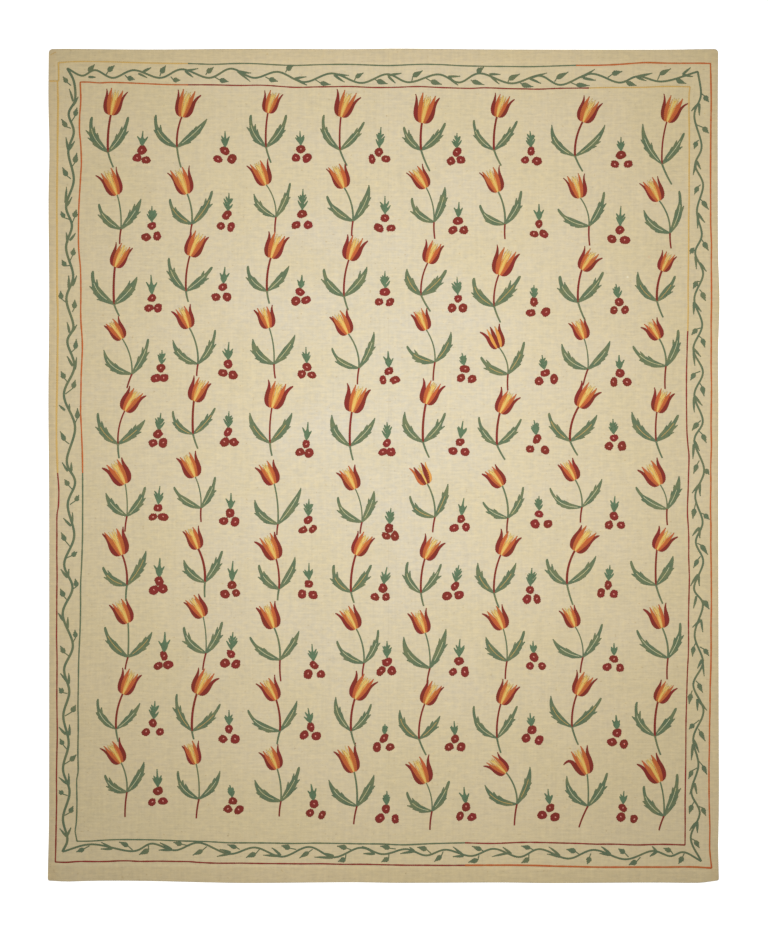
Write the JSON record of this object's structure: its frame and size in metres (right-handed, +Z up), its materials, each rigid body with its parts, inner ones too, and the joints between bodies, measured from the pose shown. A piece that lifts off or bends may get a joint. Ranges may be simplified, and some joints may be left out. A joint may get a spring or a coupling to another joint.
{
  "type": "suzani kilim rug",
  "caption": "Flat-woven cotton rug lying flat, with turned hems and chain-stitched rows of tulips and berry sprigs inside a leafy vine border.",
  "frame": {"origin": "middle of the rug's box, on the floor that the rug lies on", "axes": "+Z up out of the right side of the cloth, +Y along the rug's length towards its head end, +X across its width to the right"},
  "size_m": [2.4582, 3.0544, 0.0038],
  "materials": {
    "flatwoven_cotton": "undyed straw cotton, slubby flat weave, matt",
    "dark_red_yarn": "madder red wool chain stitch, matt",
    "rust_yarn": "rust red wool chain stitch, matt",
    "orange_yarn": "orange wool chain stitch, matt",
    "gold_yarn": "gold wool chain stitch, matt",
    "pale_yellow_yarn": "pale yellow wool chain stitch, matt",
    "leaf_green_yarn": "grey green wool chain stitch, matt",
    "vine_green_yarn": "dark green wool chain stitch, matt",
    "cream_yarn": "cream wool chain stitch, matt",
    "pink_yarn": "pale pink wool chain stitch, matt"
  },
  "bodies": {
    "root": {"kilim_cloth": "flatwoven_cotton"}
  },
  "joints": []
}
